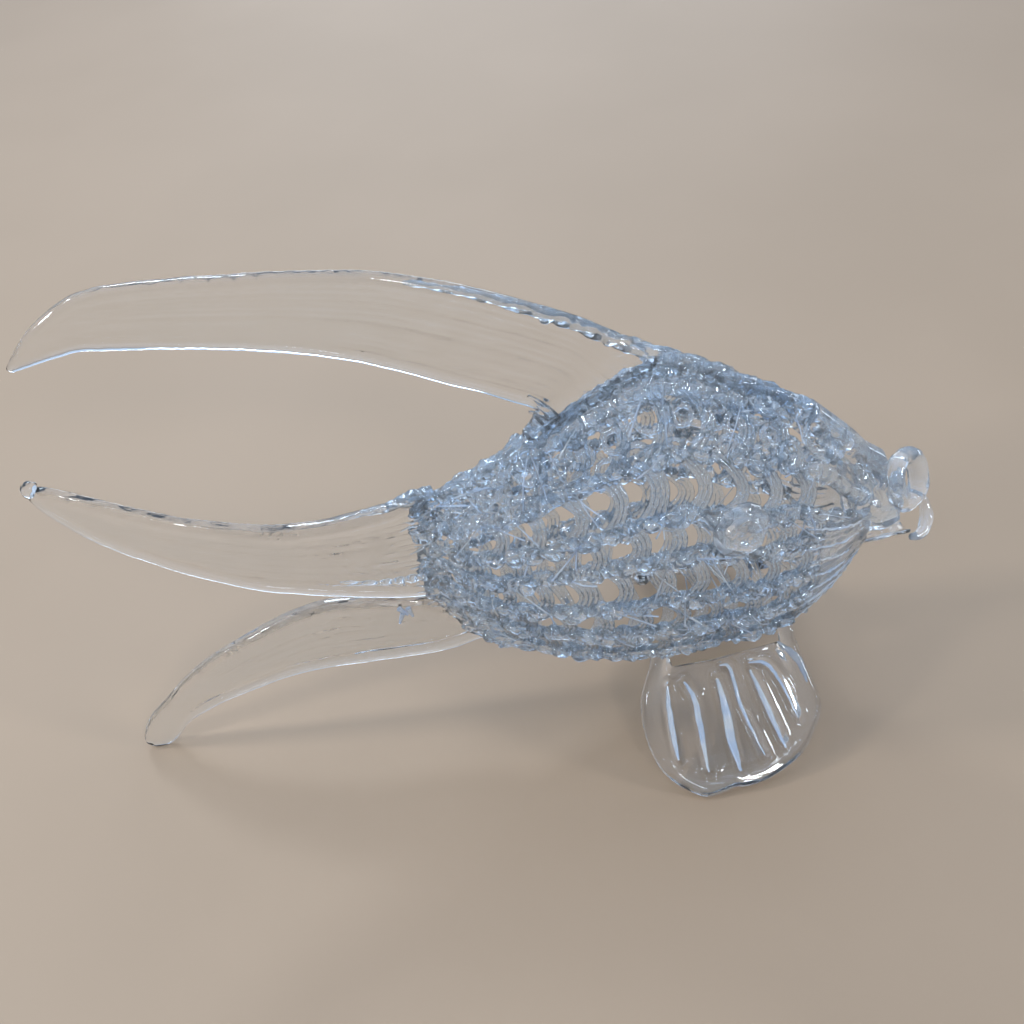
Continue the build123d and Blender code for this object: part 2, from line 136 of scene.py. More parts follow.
def glass(name, look):
    material = bpy.data.materials.new(name)
    tree = Tree(material)
    cloud = tree.noise((1, 1, 1), look["cloudScale"], mix["cloudDetail"])
    tint = tree.ramp(cloud, ((mix["deepAt"], look["deepTint"]), (mix["paleAt"], look["paleTint"])))
    ripple = tree.noise(look["rippleStretch"], look["rippleScale"])
    fine = tree.noise(look["fineStretch"], look["fineScale"])
    # small round seeds that were trapped in the glass
    speck = tree.node("ShaderNodeTexVoronoi", None, Vector=tree.place(), Scale=look["seedScale"])
    seed = tree.node("ShaderNodeMapRange", None, speck, 0.0, mix["seedReach"], 1.0, 0.0)
    height = ripple * look["rippleHeight"] + fine * look["fineHeight"] + seed * look["seedHeight"]
    bump = tree.node(
        "ShaderNodeBump", None, Height=height, Strength=look["bumpStrength"], Distance=look["bumpDistance"],
    )
    shader = tree.node(
        "ShaderNodeBsdfPrincipled", None, Base_Color=tint, Normal=bump, IOR=look["ior"],
        Roughness=cloud * look["roughSpread"] + look["roughLow"], Transmission_Weight=look["clearness"],
    )
    tree.node("ShaderNodeOutputMaterial", None, shader)
    return material


spunGlass = glass("spunGlass", dict(
    ior=1.57, cloudScale=90.0, deepTint=(0.84, 0.92, 1.0), paleTint=(0.95, 0.98, 1.0),
    rippleScale=900.0, rippleStretch=(1, 1, 1), rippleHeight=0.7,
    fineScale=2600.0, fineStretch=(1, 1, 0.5), fineHeight=0.25, seedScale=500.0, seedHeight=0.2,
    bumpStrength=0.3, bumpDistance=0.0004, roughLow=0.0, roughSpread=0.05, clearness=0.92,
))
workedGlass = glass("workedGlass", dict(
    ior=1.57, cloudScale=120.0, deepTint=(0.9, 0.95, 1.0), paleTint=(0.98, 0.99, 1.0),
    rippleScale=420.0, rippleStretch=(0.6, 1, 1), rippleHeight=0.8,
    fineScale=1500.0, fineStretch=(0.4, 1, 1), fineHeight=0.2, seedScale=500.0, seedHeight=0.2,
    bumpStrength=0.28, bumpDistance=0.0005, roughLow=0.0, roughSpread=0.04, clearness=0.9,
))
# milky pale blue-white glass; on the net's fine threads, the pelvic ridges and the jaw streaks its pale colour
# is painted highlight, standing in for light reflected in clear glass
frostedAndSheenGlass = glass("frostedAndSheenGlass", dict(
    ior=1.57, cloudScale=300.0, deepTint=(0.7, 0.82, 1.0), paleTint=(0.95, 0.98, 1.0),
    rippleScale=700.0, rippleStretch=(1, 1, 0.4), rippleHeight=0.8,
    fineScale=2000.0, fineStretch=(1, 1, 0.4), fineHeight=0.3, seedScale=800.0, seedHeight=0.2,
    bumpStrength=0.35, bumpDistance=0.0005, roughLow=0.02, roughSpread=0.12, clearness=0.64,
))
clearGlass = glass("clearGlass", dict(
    ior=1.48, cloudScale=40.0, deepTint=(0.96, 0.98, 0.99), paleTint=(0.99, 0.995, 1.0),
    rippleScale=110.0, rippleStretch=(0.3, 1, 1), rippleHeight=0.8,
    fineScale=700.0, fineStretch=(0.1, 1, 1), fineHeight=0.16, seedScale=260.0, seedHeight=0.25,
    bumpStrength=0.22, bumpDistance=0.0006, roughLow=0.0, roughSpread=0.02, clearness=0.985,
))
print("glass mixed")


# Shapes

flowFactor = 0.5
weldGap = 0.002


def finished(name, mesh, material, slot, *replaced):
    mesh.materials.clear()
    mesh.materials.append(material)
    mesh.transform(Matrix.Scale(mm, 4))
    for vertex in mesh.vertices:  # nothing reaches past the solids' own box
        vertex.co = [min(max(place, low), high) for place, low, high in zip(vertex.co, *cadBox)]
    for face in mesh.polygons:
        face.use_smooth = True
        face.material_index = 0
    piece = bpy.data.objects.new(name, mesh)
    scene.collection.objects.link(piece)
    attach(piece, "root")
    if replaced:
        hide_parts(*replaced)
    print(name, len(mesh.polygons), "faces")
    return piece


def spun(name, mesh, *replaced):
    return finished(name, mesh, spunGlass, "spun_glass", *replaced)


def worked(name, mesh, *replaced):
    return finished(name, mesh, workedGlass, "clear_glass", *replaced)


def frostedAndSheen(name, mesh, *replaced):
    return finished(name, mesh, frostedAndSheenGlass, "clear_glass", *replaced)


def clear(name, mesh, *replaced):
    return finished(name, mesh, clearGlass, "clear_glass", *replaced)


def threadMesh(threads, sides=3):
    # each thread is a list of points and radii, and becomes a closed tube
    curve = bpy.data.curves.new("threads", "CURVE")
    curve.dimensions = "3D"
    curve.bevel_depth = 1.0
    curve.bevel_resolution = sides - 2
    curve.use_fill_caps = True
    for points, radii in threads:
        spline = curve.splines.new("POLY")
        spline.points.add(len(points) - 1)
        for place, point, radius in zip(spline.points, points, radii):
            place.co = (*point, 1)
            place.radius = radius
    owner = bpy.data.objects.new("threads", curve)
    mesh = bpy.data.meshes.new_from_object(owner)
    bpy.data.objects.remove(owner)
    bpy.data.curves.remove(curve)
    return mesh


def melted(mesh, voxel, rounds):
    # fuses everything in the mesh into one skin and lets it flow
    owner = bpy.data.objects.new("melt", mesh)
    scene.collection.objects.link(owner)
    fuse = owner.modifiers.new("fuse", "REMESH")
    fuse.mode = "VOXEL"
    fuse.voxel_size = voxel
    flow = owner.modifiers.new("flow", "SMOOTH")
    flow.factor = flowFactor
    flow.iterations = rounds
    flowed = bpy.data.meshes.new_from_object(owner.evaluated_get(bpy.context.evaluated_depsgraph_get()))
    bpy.data.objects.remove(owner)
    return flowed


def merged(*names):
    # copy of some nodes of the frame in millimetres, with its corners joined
    bm = bmesh.new()
    for name in names:
        bm.from_mesh(nodes[name].data)
    bmesh.ops.scale(bm, vec=Vector((1, 1, 1)) / mm, verts=bm.verts)
    bmesh.ops.remove_doubles(bm, verts=bm.verts, dist=weldGap)
    mesh = bpy.data.meshes.new("copy")
    bm.to_mesh(mesh)
    bm.free()
    return mesh


def joined(*meshes):
    bm = bmesh.new()
    for mesh in meshes:
        bm.from_mesh(mesh)
    whole = bpy.data.meshes.new("joined")
    bm.to_mesh(whole)
    bm.free()
    return whole


def otherSide(mesh):
    # mirror image for the left side of the fish
    bm = bmesh.new()
    bm.from_mesh(mesh)
    bmesh.ops.scale(bm, vec=(1, -1, 1), verts=bm.verts)
    bmesh.ops.reverse_faces(bm, faces=bm.faces)
    copy = bpy.data.meshes.new("otherSide")
    bm.to_mesh(copy)
    bm.free()
    return copy


def wavy(mesh, amount, size):
    # uneven surface, as glass that was worked in the flame
    for vertex, normal in zip(mesh.vertices, [n.vector.copy() for n in mesh.vertex_normals]):
        vertex.co += normal * (amount * noise.noise(vertex.co / size))
    return mesh


def flamed(mesh, look):
    # melted and made uneven, as the piece's dictionary says
    return wavy(melted(mesh, look["voxel"], look["flow"]), look["uneven"], look["unevenSize"])


def onTable(mesh, high=3.0, gap=0.03):
    # squashes the lowest few millimetres, so that a round end just rests on the table
    low = min(vertex.co.z for vertex in mesh.vertices)
    for vertex in mesh.vertices:
        if vertex.co.z < high:
            vertex.co.z = high - (high - vertex.co.z) * (high - gap) / (high - low)
    return mesh


def smoothShare(shares, along):
    place = min(max(along, 0), 1) * (len(shares) - 1)
    i = min(int(place), len(shares) - 2)
    f = place - i
    a, b, c, d = (shares[min(max(i + k, 0), len(shares) - 1)] for k in (-1, 0, 1, 2))
    return b + f * (c - a) / 2 + f**2 * (2 * a - 5 * b + 4 * c - d) / 2 + f**3 * (3 * b - a - 3 * c + d) / 2


def smoothRow(rows, along):
    return [smoothShare(column, along) for column in zip(*rows)]


def heading(random, *spans):
    # direction drawn from spans; a plain number stays as it is
    return Vector([random.uniform(*span) if isinstance(span, tuple) else span for span in spans]).normalized()


# The body's surface, on which the net lies

body = dict(
    length=58.5, height=51.2, halfWidth=12.8, clearance=7.4, rear=-12.0, rod=1.45, rootRear=-12.998,
    ridgeShares=(0.668, 0.725, 0.785, 0.865, 0.941, 1.0, 0.973, 0.908, 0.836, 0.721, 0.594),
    bellyShares=(0.305, 0.141, 0.09, 0.049, 0.018, 0.0, 0.01, 0.012, 0.035, 0.152, 0.363),
    widthShares=(0.234, 0.492, 0.707, 0.867, 0.957, 1.0, 0.977, 0.891, 0.734, 0.531, 0.359),
    upperFullness=1.5, lowerFullness=1.15, probe=0.2, probeTurn=0.004,
)
# the frame's origin lies under the middle of the figurine
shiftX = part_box("tail_root")[0].x / mm - body["rootRear"]


def skin(x, turn, side=-1, lift=0.0):
    # x is measured as in the body's tables; turn runs from the ridge (0) to the belly (1)
    along = (x - body["rear"]) / body["length"]
    top = body["clearance"] + body["height"] * smoothShare(body["ridgeShares"], along) - body["rod"]
    bottom = body["clearance"] + body["height"] * smoothShare(body["bellyShares"], along) + body["rod"]
    halfWidth = body["halfWidth"] * smoothShare(body["widthShares"], along) - body["rod"]
    fullness = body["upperFullness"] if turn < 0.5 else body["lowerFullness"]
    z = top - (top - bottom) * (1 - cos(pi * turn)) / 2
    y = halfWidth * abs(sin(pi * turn)) ** fullness
    point = Vector((x + shiftX, side * y, z))
    return point + outward(x, turn, side) * lift if lift else point


def outward(x, turn, side=-1):
    step, turnStep = body["probe"], body["probeTurn"]
    ahead = skin(x + step, turn, side) - skin(x - step, turn, side)
    around = skin(x, min(turn + turnStep, 1), side) - skin(x, max(turn - turnStep, 0), side)
    way = around.cross(ahead) if side < 0 else ahead.cross(around)
    return way.normalized()


# The net: rods, strands, cells and loose threads

net = dict(
    rows=(0.0, 0.105, 0.25, 0.365, 0.44, 0.54, 0.63, 0.75, 1.0), lastTurn=0.985,
    rear=-7.5, front=37.4, shortRear=-1.5, shortFront=35.0, rodRear=-10.6, rodFront=37.6, mouth=42.6,
    bendFrom=34, bendTurn=0.05, voxel=0.185, flow=2, uneven=0.12, unevenSize=0.9,
)


def rowEnds(row):
    if row == 1:
        return net["shortRear"], net["shortFront"]
    return net["rodRear"], net["mouth"] if row in (2, 3) else net["rodFront"]


def rodTurn(row, x):
    bend = max(x - net["bendFrom"], 0) / (net["mouth"] - net["bendFrom"])
    return net["rows"][row] + (net["bendTurn"] * bend if row in (2, 3) else 0)


def between(row):
    # turns of a rod and of the next one
    return net["rows"][row], min(net["rows"][row + 1], net["lastTurn"])


blobShape = ((-1, 0.25), (-0.75, 0.7), (-0.3, 1), (0.3, 1), (0.75, 0.7), (1, 0.25))


def blob(center, way, long, thick):
    # lump, thick in the middle
    points = [center + way * (long * step) for step, part in blobShape]
    return points, [thick * part for step, part in blobShape]


def loop(x, turn, side, radius, thick, lift, tilt=0.0, steps=12):
    # ring of thread lying on the skin
    middle = skin(x, turn, side, lift)
    way = outward(x, turn, side)
    first = way.cross(upWay).normalized()
    second = way.cross(first)
    points = []
    for k in range(steps + 1):
        angle = 2 * pi * k / steps
        spoke = first * (radius * cos(angle)) + second * (radius * sin(angle))
        points.append(middle + spoke + way * (tilt * radius * cos(angle)))
    return points, [thick] * (steps + 1)


def bent(points, radii, random, wander=0.0):
    # smooth thread through a few points
    steps = 6 * (len(points) - 1)
    path = [Vector(smoothRow(points, k / steps)) for k in range(steps + 1)]
    shaken = [p + Vector([random.uniform(-wander, wander) for axis in range(3)]) for p in path]
    return shaken, [smoothShare(radii, k / steps) for k in range(steps + 1)]


rods = dict(
    step=1.15, endShare=0.55, endLong=10, sway=(-0.006, 0.006), lift=(-0.1, 0.25), thick=0.85,
    thickShift=(-0.25, 0.3), lumpTurn=(-0.012, 0.012), lumpSpans=((-1, 1), (-0.3, 0.3), (-1, 1)),
    lumpLift=(0.1, 0.75), lumpLong=(0.8, 1.4), lumpThick=(0.7, 1.2), ringChance=0.5, ringMargin=2,
    ringRadius=(0.8, 1.25), ringThick=(0.24, 0.36), ringLift=0.9, ringTilt=(-0.5, 0.5),
)


def rodThreads(row, side, random):
    # a lumpy rod with threads curled round it
    rear, front = rowEnds(row)
    steps = round((front - rear) / rods["step"])
    core, widths, threads = [], [], []
    for k in range(steps + 1):
        x = rear + (front - rear) * k / steps
        near = min(x - rear, front - x)
        end = min(1, near / rods["endLong"] + rods["endShare"])
        sway = random.uniform(*rods["sway"])
        core.append(skin(x, rodTurn(row, x) + sway, side, random.uniform(*rods["lift"])))
        widths.append((rods["thick"] + random.uniform(*rods["thickShift"])) * end)
        if k % 2 == row % 2 and 0 < k < steps:
            turn = rodTurn(row, x) + random.uniform(*rods["lumpTurn"])
            way = heading(random, *rods["lumpSpans"])
            spot = skin(x, turn, side, random.uniform(*rods["lumpLift"]))
            long, thick = random.uniform(*rods["lumpLong"]), random.uniform(*rods["lumpThick"])
            threads.append(blob(spot, way, long, thick * end))
        if random.random() < rods["ringChance"] and rods["ringMargin"] < k < steps - rods["ringMargin"]:
            radius, thick = random.uniform(*rods["ringRadius"]), random.uniform(*rods["ringThick"])
            tilt = random.uniform(*rods["ringTilt"])
            threads.append(loop(x, rodTurn(row, x), side, radius, thick, rods["ringLift"], tilt))
    threads.append((core, widths))
    return threads


strand = dict(
    pitch=4.6, stagger=2.3, counts=(3, 3, 4), bow=0.27, bowShift=(-0.05, 0.04), radius=(0.27, 0.36),
    spread=(0.5, 0.6), flare=0.9, lean=0.6, lift=(-0.06, 0.06), arch=0.3, thickEnd=0.5, steps=8,
)


def strandThreads(row, side, random):
    # bundles of parallel threads, bowed from one rod to the next
    rear, front = net["rear"], net["front"]
    if row == 1:
        rear, front = net["shortRear"] + strand["stagger"], net["shortFront"] - strand["stagger"]
    x = rear + (strand["stagger"] if row % 2 else 0)
    threads = []
    while x < front:
        upper, lower = between(row)
        height = (skin(x, lower) - skin(x, upper)).length
        count = random.choice(strand["counts"])
        bow = strand["bow"] + random.uniform(*strand["bowShift"])
        for j in range(count):
            aside = j - (count - 1) / 2
            radius = random.uniform(*strand["radius"])
            spread = random.uniform(*strand["spread"])
            points, radii = [], []
            for k in range(strand["steps"] + 1):
                share = k / strand["steps"]
                rise, edge = sin(pi * share), abs(2 * share - 1)
                flare = 1 + strand["flare"] * edge**3
                place = x + strand["lean"] * (share - 0.5) + height * bow * rise + aside * spread * flare
                turn = upper + (lower - upper) * share
                points.append(skin(place, turn, side, random.uniform(*strand["lift"]) + strand["arch"] * rise))
                radii.append(radius * (1 + strand["thickEnd"] * edge**4))
            threads.append((points, radii))
        x += strand["pitch"]
    return threads


cells = dict(
    rows=((0.05, -9, 40), (0.115, -8, 38), (0.18, -9, 36.5), (0.235, -8, 34)),  # turn, rear and front
    kept=((36.98, 0.137, 1.6), (2.94, 0.137, 1.5), (-9.6, 0.125, 1.5)),  # x, turn and radius of open cells
    keptGrow=0.5, keptThick=0.5, keptLift=0.4, keptTilt=0.1, keptMargin=1.4, stagger=1.7,
    radius=(1.15, 1.8), shift=(-0.5, 0.5), turnShift=(-0.015, 0.015), step=(3.1, 4.0), lift=(-0.2, 0.6),
    tilt=(-0.45, 0.45), thick=(0.28, 0.52), lumpChance=0.6, lumpSpans=((-1, 1), 0, (-1, 1)), lumpLift=0.2,
    lumpLong=(0.8, 1.7), lumpThick=(0.45, 0.9),
)


def cellThreads(side, random):
    # rounder cells over the upper back, between the ridge and the second rod
    threads = []
    for x, turn, radius in cells["kept"]:
        ring = (radius + cells["keptGrow"], cells["keptThick"], cells["keptLift"], cells["keptTilt"])
        threads.append(loop(x, turn, side, *ring))
    for row, (turn, rear, front) in enumerate(cells["rows"]):
        x = rear + cells["stagger"] * (row % 2)
        while x < front:
            radius = random.uniform(*cells["radius"])
            where = x + random.uniform(*cells["shift"])
            spot = turn + random.uniform(*cells["turnShift"])
            here = skin(where, spot, side)
            x += random.uniform(*cells["step"])
            if any((here - skin(a, b, side)).length < r + cells["keptMargin"] for a, b, r in cells["kept"]):
                continue
            lift, tilt = random.uniform(*cells["lift"]), random.uniform(*cells["tilt"])
            threads.append(loop(where, spot, side, radius, random.uniform(*cells["thick"]), lift, tilt))
            if random.random() < cells["lumpChance"]:
                way = heading(random, *cells["lumpSpans"])
                middle = skin(where + radius, spot, side, cells["lumpLift"])
                long, thick = random.uniform(*cells["lumpLong"]), random.uniform(*cells["lumpThick"])
                threads.append(blob(middle, way, long, thick))
    return threads


cheek = dict(
    strut=((36.2, 0.235), (38.6, 0.262), (41.0, 0.3), (43.4, 0.335)), lift=0.3,
    strutRadii=(0.9, 1.15, 1.1, 1.3),
    lumps=(  # x, turn, lift, way, length and thickness
        (39.4, 0.155, 0.2, (0.6, 0, -0.8), 1.7, 1.5),
        (37.8, 0.205, 0.3, (0.9, 0, 0.3), 1.5, 1.05),
    ),
    stays=(((37.2, 0.16), (41.0, 0.1)), ((40.5, 0.17), (42.8, 0.2)), ((38.6, 0.1), (40.4, 0.16))),
    stayRadii=(0.32, 0.26),
)


def cheekThreads(side, random):
    # thick clear struts and lumps that lead the upper net into the mouth
    strut = [skin(x, turn, side, cheek["lift"]) for x, turn in cheek["strut"]]
    threads = [bent(strut, cheek["strutRadii"], random)]
    for x, turn, lift, way, long, thick in cheek["lumps"]:
        threads.append(blob(skin(x, turn, side, lift), Vector(way), long, thick))
    for ends in cheek["stays"]:
        threads.append(([skin(x, turn, side) for x, turn in ends], cheek["stayRadii"]))
    return threads


jaw = dict(
    rows=(4, 5, 6, 7), threads=(-1, 0, 1), apart=0.022, fall=0.004, rear=36,
    stations=(35.0, 37.5, 40.0, 42.5, 44.4), radii=(0.5, 0.42, 0.5, 0.38, 0.3), lift=0.35, wander=0.08,
    knot=(43.4, 0.56), knotLift=0.2, knotWay=(0.3, 0, 1), knotLong=1.1, knotThick=0.84,
    # the streak entries place the painted highlight streaks on the jaw sheet
    highlightStreaks=9, streakTurn=0.4, streakStep=0.055, streakRear=(34.5, 37.5), streakFront=(41.0, 43.6),
    streakFall=0.012, streakLift=0.7, streakRadii=(0.06, 0.15, 0.2, 0.14, 0.06), streakWander=0.1,
    seed=53, streakSeed=67, voxel=0.2, flow=3, uneven=0.12, unevenSize=1.2,
)


def jawThreads(side, random):
    # the lower rods run on over the jaw and gather at its front
    threads = []
    for row in jaw["rows"]:
        for j in jaw["threads"]:
            turn = net["rows"][row] + jaw["apart"] * j
            points = []
            for x in jaw["stations"]:
                points.append(skin(x, turn + jaw["fall"] * (x - jaw["rear"]), side, jaw["lift"]))
            threads.append(bent(points, jaw["radii"], random, jaw["wander"]))
    knot = skin(*jaw["knot"], side, jaw["knotLift"])
    threads.append(blob(knot, Vector(jaw["knotWay"]).normalized(), jaw["knotLong"], jaw["knotThick"]))
    return threads


def highlightStreakThreads(side, random):
    # thin pale streaks along the jaw sheet: painted highlight, frosted threads that stand in for light
    # reflected in the glass
    threads, steps = [], len(jaw["streakRadii"]) - 1
    for k in range(jaw["highlightStreaks"]):
        turn = jaw["streakTurn"] + jaw["streakStep"] * k
        rear, front = random.uniform(*jaw["streakRear"]), random.uniform(*jaw["streakFront"])
        points = []
        for j in range(steps + 1):
            x = rear + (front - rear) * j / steps
            points.append(skin(x, turn + jaw["streakFall"] * j, side, jaw["streakLift"]))
        threads.append(bent(points, jaw["streakRadii"], random, jaw["streakWander"]))
    return threads


spineLook = dict(
    step=1.2, startShare=0.6, startSteps=8, rise=(-0.2, 0.2), thickShare=(0.75, 1.0),
    lumpSpans=(1, (-0.6, 0.6), (-0.5, 0.5)), aside=(-0.9, 0.9), drop=(-0.5, 0.2), lumpLong=(0.7, 1.4),
    lumpThick=(0.6, 1.0),
)


def spineRod(turn, front, thick, random):
    # the lumpy rod along the ridge or the belly
    look, rear = spineLook, net["rodRear"]
    steps = round((front - rear) / look["step"])
    core, widths, threads = [], [], []
    for k in range(steps + 1):
        x = rear + (front - rear) * k / steps
        end = min(1, look["startShare"] + k / look["startSteps"])
        core.append(skin(x, turn) + upWay * random.uniform(*look["rise"]))
        widths.append(thick * end * random.uniform(*look["thickShare"]))
        if k % 2:
            way = heading(random, *look["lumpSpans"])
            aside = Vector((0, random.uniform(*look["aside"]), random.uniform(*look["drop"])))
            long, full = random.uniform(*look["lumpLong"]), random.uniform(*look["lumpThick"])
            threads.append(blob(core[-1] + aside, way, long, full))
    threads.append((core, widths))
    return threads


hairs = dict(
    count=50, x=(-9, 38), lift=(0.1, 1.1), run=(-4, 5), sag=(-0.3, 0.5), thick=(0.07, 0.14), middleShare=0.8,
)


def fineSheenThreads(rows, side, random):
    # hair-thin threads strung across the openings; their pale frosted glass is painted highlight that whitens
    # the net
    threads = []
    for k in range(hairs["count"]):
        x, row = random.uniform(*hairs["x"]), random.choice(rows)
        upper, lower = between(row)
        lift = random.uniform(*hairs["lift"])
        start = skin(x, upper, side, lift)
        end = skin(x + random.uniform(*hairs["run"]), random.uniform(upper, lower), side, lift)
        sag = outward(x, upper, side) * random.uniform(*hairs["sag"])
        thick = random.uniform(*hairs["thick"])
        threads.append(([start, (start + end) / 2 + sag, end], [thick, thick * hairs["middleShare"], thick]))
    return threads


bands = (  # name, side, rows and seed
    ("right_upper_net", -1, (1, 2, 3), 20),
    ("right_lower_net", -1, (4, 5, 6, 7), 21),
    ("left_upper_net", 1, (1, 2, 3), 22),
    ("left_lower_net", 1, (4, 5, 6, 7), 23),
)
for name, side, rows, seed in bands:
    random = Random(seed)
    threads, strands = [], []
    for row in rows:
        threads += rodThreads(row, side, random)
        strands += strandThreads(row, side, random)
    if 1 in rows:
        threads += cellThreads(side, random) + cheekThreads(side, random)
    word = "right" if side < 0 else "left"
    stoodFor = [f"{word}_{kind}_{row}" for row in rows for kind in ("row_rod", "scale_row")]
    spun(name, flamed(threadMesh(threads), net), *stoodFor)
    spun(f"{name}_strands", threadMesh(strands), *stoodFor)
    # real fine threads of glass, whose pale frosted colour is painted highlight
    frostedAndSheen(f"{name}_hairs", threadMesh(fineSheenThreads(rows, side, random)), *stoodFor)


# Gather at the root of the tail, with the ridge and the belly

root = dict(
    seed=31, knots=90, knotX=(-12.3, -9.6), knotTurn=(0.02, 0.98), knotWidth=(0.2, 1.0),
    knotSpans=((-1, 1), (-0.4, 0.4), (-1, 1)), knotLong=(0.7, 1.5), knotThick=(0.5, 0.95),
    rings=16, ringX=(-11.6, -8.5), ringTurn=(0.1, 0.9), ringRadius=(0.9, 1.5), ringThick=(0.24, 0.4),
    ringLift=0.2, ringTilt=(-0.5, 0.5),
    hairs=26, hairX=(-11.8, -10.4), hairTurn=(0.05, 0.95), hairSides=(-1, -1, 1), hairOut=(0, 0.3),
    hairRise=(-0.5, 0.5), hairCurl=(-0.5, 0.5), hairLong=(1.4, 3.2), hairRadii=(0.16, 0.12, 0.06),
    ridge=(0, 37.0, 1.5), belly=(1, 37.6, 1.45),  # turn, front and thickness
    top=((-9, 0, 42.6), (-12, 0.2, 42.2), (-15, -0.2, 41.6), (-19, 0, 40.7), (-23, 0, 40.3)),
    topRadii=(1.1, 0.95, 0.7, 0.45, 0.2), topWander=0.12, besideRadii=(0.7, 0.6, 0.3), besideWander=0.15,
    besideDrop=0.8, besideOut=0.5, voxel=0.185, flow=2, uneven=0.15, unevenSize=0.9,
)


def rootThreads(random):
    threads = []
    for k in range(root["knots"]):
        x = random.uniform(*root["knotX"])
        turn = random.uniform(*root["knotTurn"])
        side = random.choice((-1, 1))
        spot = skin(x, turn, side)
        spot.y *= random.uniform(*root["knotWidth"])
        way = heading(random, *root["knotSpans"])
        threads.append(blob(spot, way, random.uniform(*root["knotLong"]), random.uniform(*root["knotThick"])))
    for k in range(root["rings"]):
        x, turn = random.uniform(*root["ringX"]), random.uniform(*root["ringTurn"])
        radius, thick = random.uniform(*root["ringRadius"]), random.uniform(*root["ringThick"])
        side = random.choice((-1, 1))
        threads.append(loop(x, turn, side, radius, thick, root["ringLift"], random.uniform(*root["ringTilt"])))
    return threads


def hairThreads(random):
    # fine ends of thread that stick out over the tail
    threads = []
    for k in range(root["hairs"]):
        x, turn = random.uniform(*root["hairX"]), random.uniform(*root["hairTurn"])
        side = random.choice(root["hairSides"])
        start = skin(x, turn, side)
        aside = side * random.uniform(*root["hairOut"])
        way = Vector((-1, aside, random.uniform(*root["hairRise"]))).normalized()
        curl = upWay * random.uniform(*root["hairCurl"])
        long = random.uniform(*root["hairLong"])
        threads.append(([start, start + way * (long / 2) + curl, start + way * long], root["hairRadii"]))
    return threads


def tailTopThreads(random):
    # the strand that runs out along the top edge of the upper lobe, with a short one beside it
    path = [Vector((x + shiftX, y, z)) for x, y, z in root["top"]]
    beside = [p - upWay * root["besideDrop"] + sideWay * root["besideOut"] for p in path[:3]]
    return [
        bent(path, root["topRadii"], random, root["topWander"]),
        bent(beside, root["besideRadii"], random, root["besideWander"]),
    ]


random = Random(root["seed"])
spine = spineRod(*root["ridge"], random) + spineRod(*root["belly"], random) + rootThreads(random)
spine += tailTopThreads(random)
whole = joined(flamed(threadMesh(spine), root), threadMesh(hairThreads(random)))
spun("spine_and_root", whole, "ridge_rod", "belly_rod", "tail_root")
print("net spun")


# Fins and tail lobes: flat blades drawn out of parallel threads

dorsal = dict(
    length=64.0, rise=24.6, thick=2.8, count=13, rootShare=0.4171, riseShare=0.8926,
    rows=(
        (-0.084, 0.275, 0.144, -0.105), (0.0, 0.451, 0.119, 0.0), (0.067, 0.561, 0.186, 0.118),
        (0.18, 0.711, 0.27, 0.236), (0.289, 0.829, 0.352, 0.35), (0.397, 0.911, 0.431, 0.451),
        (0.6, 0.976, 0.591, 0.581), (0.806, 1.0, 0.831, 0.687), (0.922, 0.862, 0.898, 0.683),
        (0.993, 0.667, 0.987, 0.634),
    ),
)
tail = dict(
    length=44.0, height=52.6, thick=3.0, count=16,
    upper=(
        (0.0, 0.81, 0.0, 0.46), (0.177, 0.778, 0.157, 0.487), (0.348, 0.772, 0.327, 0.525),
        (0.482, 0.795, 0.491, 0.572), (0.634, 0.84, 0.645, 0.648), (0.775, 0.903, 0.761, 0.722),
        (0.886, 0.962, 0.868, 0.81), (0.952, 0.992, 0.95, 0.901), (0.982, 0.992, 0.984, 0.962),
    ),
    lower=(
        (-0.03, 0.41, -0.125, 0.268), (0.06, 0.468, 0.02, 0.242), (0.257, 0.494, 0.273, 0.24),
        (0.398, 0.479, 0.409, 0.236), (0.57, 0.413, 0.534, 0.215), (0.759, 0.314, 0.714, 0.16),
        (0.914, 0.19, 0.862, 0.09), (0.986, 0.125, 0.923, 0.023), (1.03, 0.057, 0.959, -0.01),
        (1.034, 0.02, 1.009, -0.01),
    ),
)
blade = dict(
    seed=41, steps=30, inset=2.0, thickShares=(1.0, 0.95, 0.9, 0.85, 0.8, 0.75, 0.7, 0.65, 0.6, 0.55),
    rim=(0.84, 0.93), leastHalf=0.4, wander=(-0.03, 0.03), startShare=0.8, startSteps=10,
    voxel=0.26, flow=10, uneven=0.1, unevenSize=4,
)


def dorsalPlace(along, rise):
    x = body["rear"] + body["length"] * dorsal["rootShare"] - dorsal["length"] * along
    z = body["clearance"] + body["height"] * dorsal["riseShare"] + dorsal["rise"] * rise
    return Vector((x + shiftX, 0, z))


def tailPlace(along, rise):
    return Vector((body["rear"] - tail["length"] * along + shiftX, 0, tail["height"] * rise))


def bladeThreads(place, rows, thick, count, random):
    # threads side by side from the upper edge to the lower; they start inside the net
    threads, steps = [], blade["steps"]
    for j in range(count):
        share = j / (count - 1)
        rim = 1 if j in (0, count - 1) else random.uniform(*blade["rim"])
        points, radii = [], []
        for k in range(steps + 1):
            a, b, c, d = smoothRow(rows, k / steps)
            upper, lower = place(a, b), place(c, d)
            half = (upper - lower).length / 2
            full = thick / 2 * smoothShare(blade["thickShares"], k / steps)
            radius = min(full, max(half, blade["leastHalf"]))
            way = (upper - lower).normalized()
            reach = max(half - radius, 0) * (1 - 2 * share)
            points.append((upper + lower) / 2 + way * reach + sideWay * random.uniform(*blade["wander"]))
            radii.append(radius * rim * min(1, blade["startShare"] + k / blade["startSteps"]))
        points.insert(0, points[0] + (points[0] - points[1]).normalized() * blade["inset"])
        threads.append((points, radii[:1] + radii))
    return threads


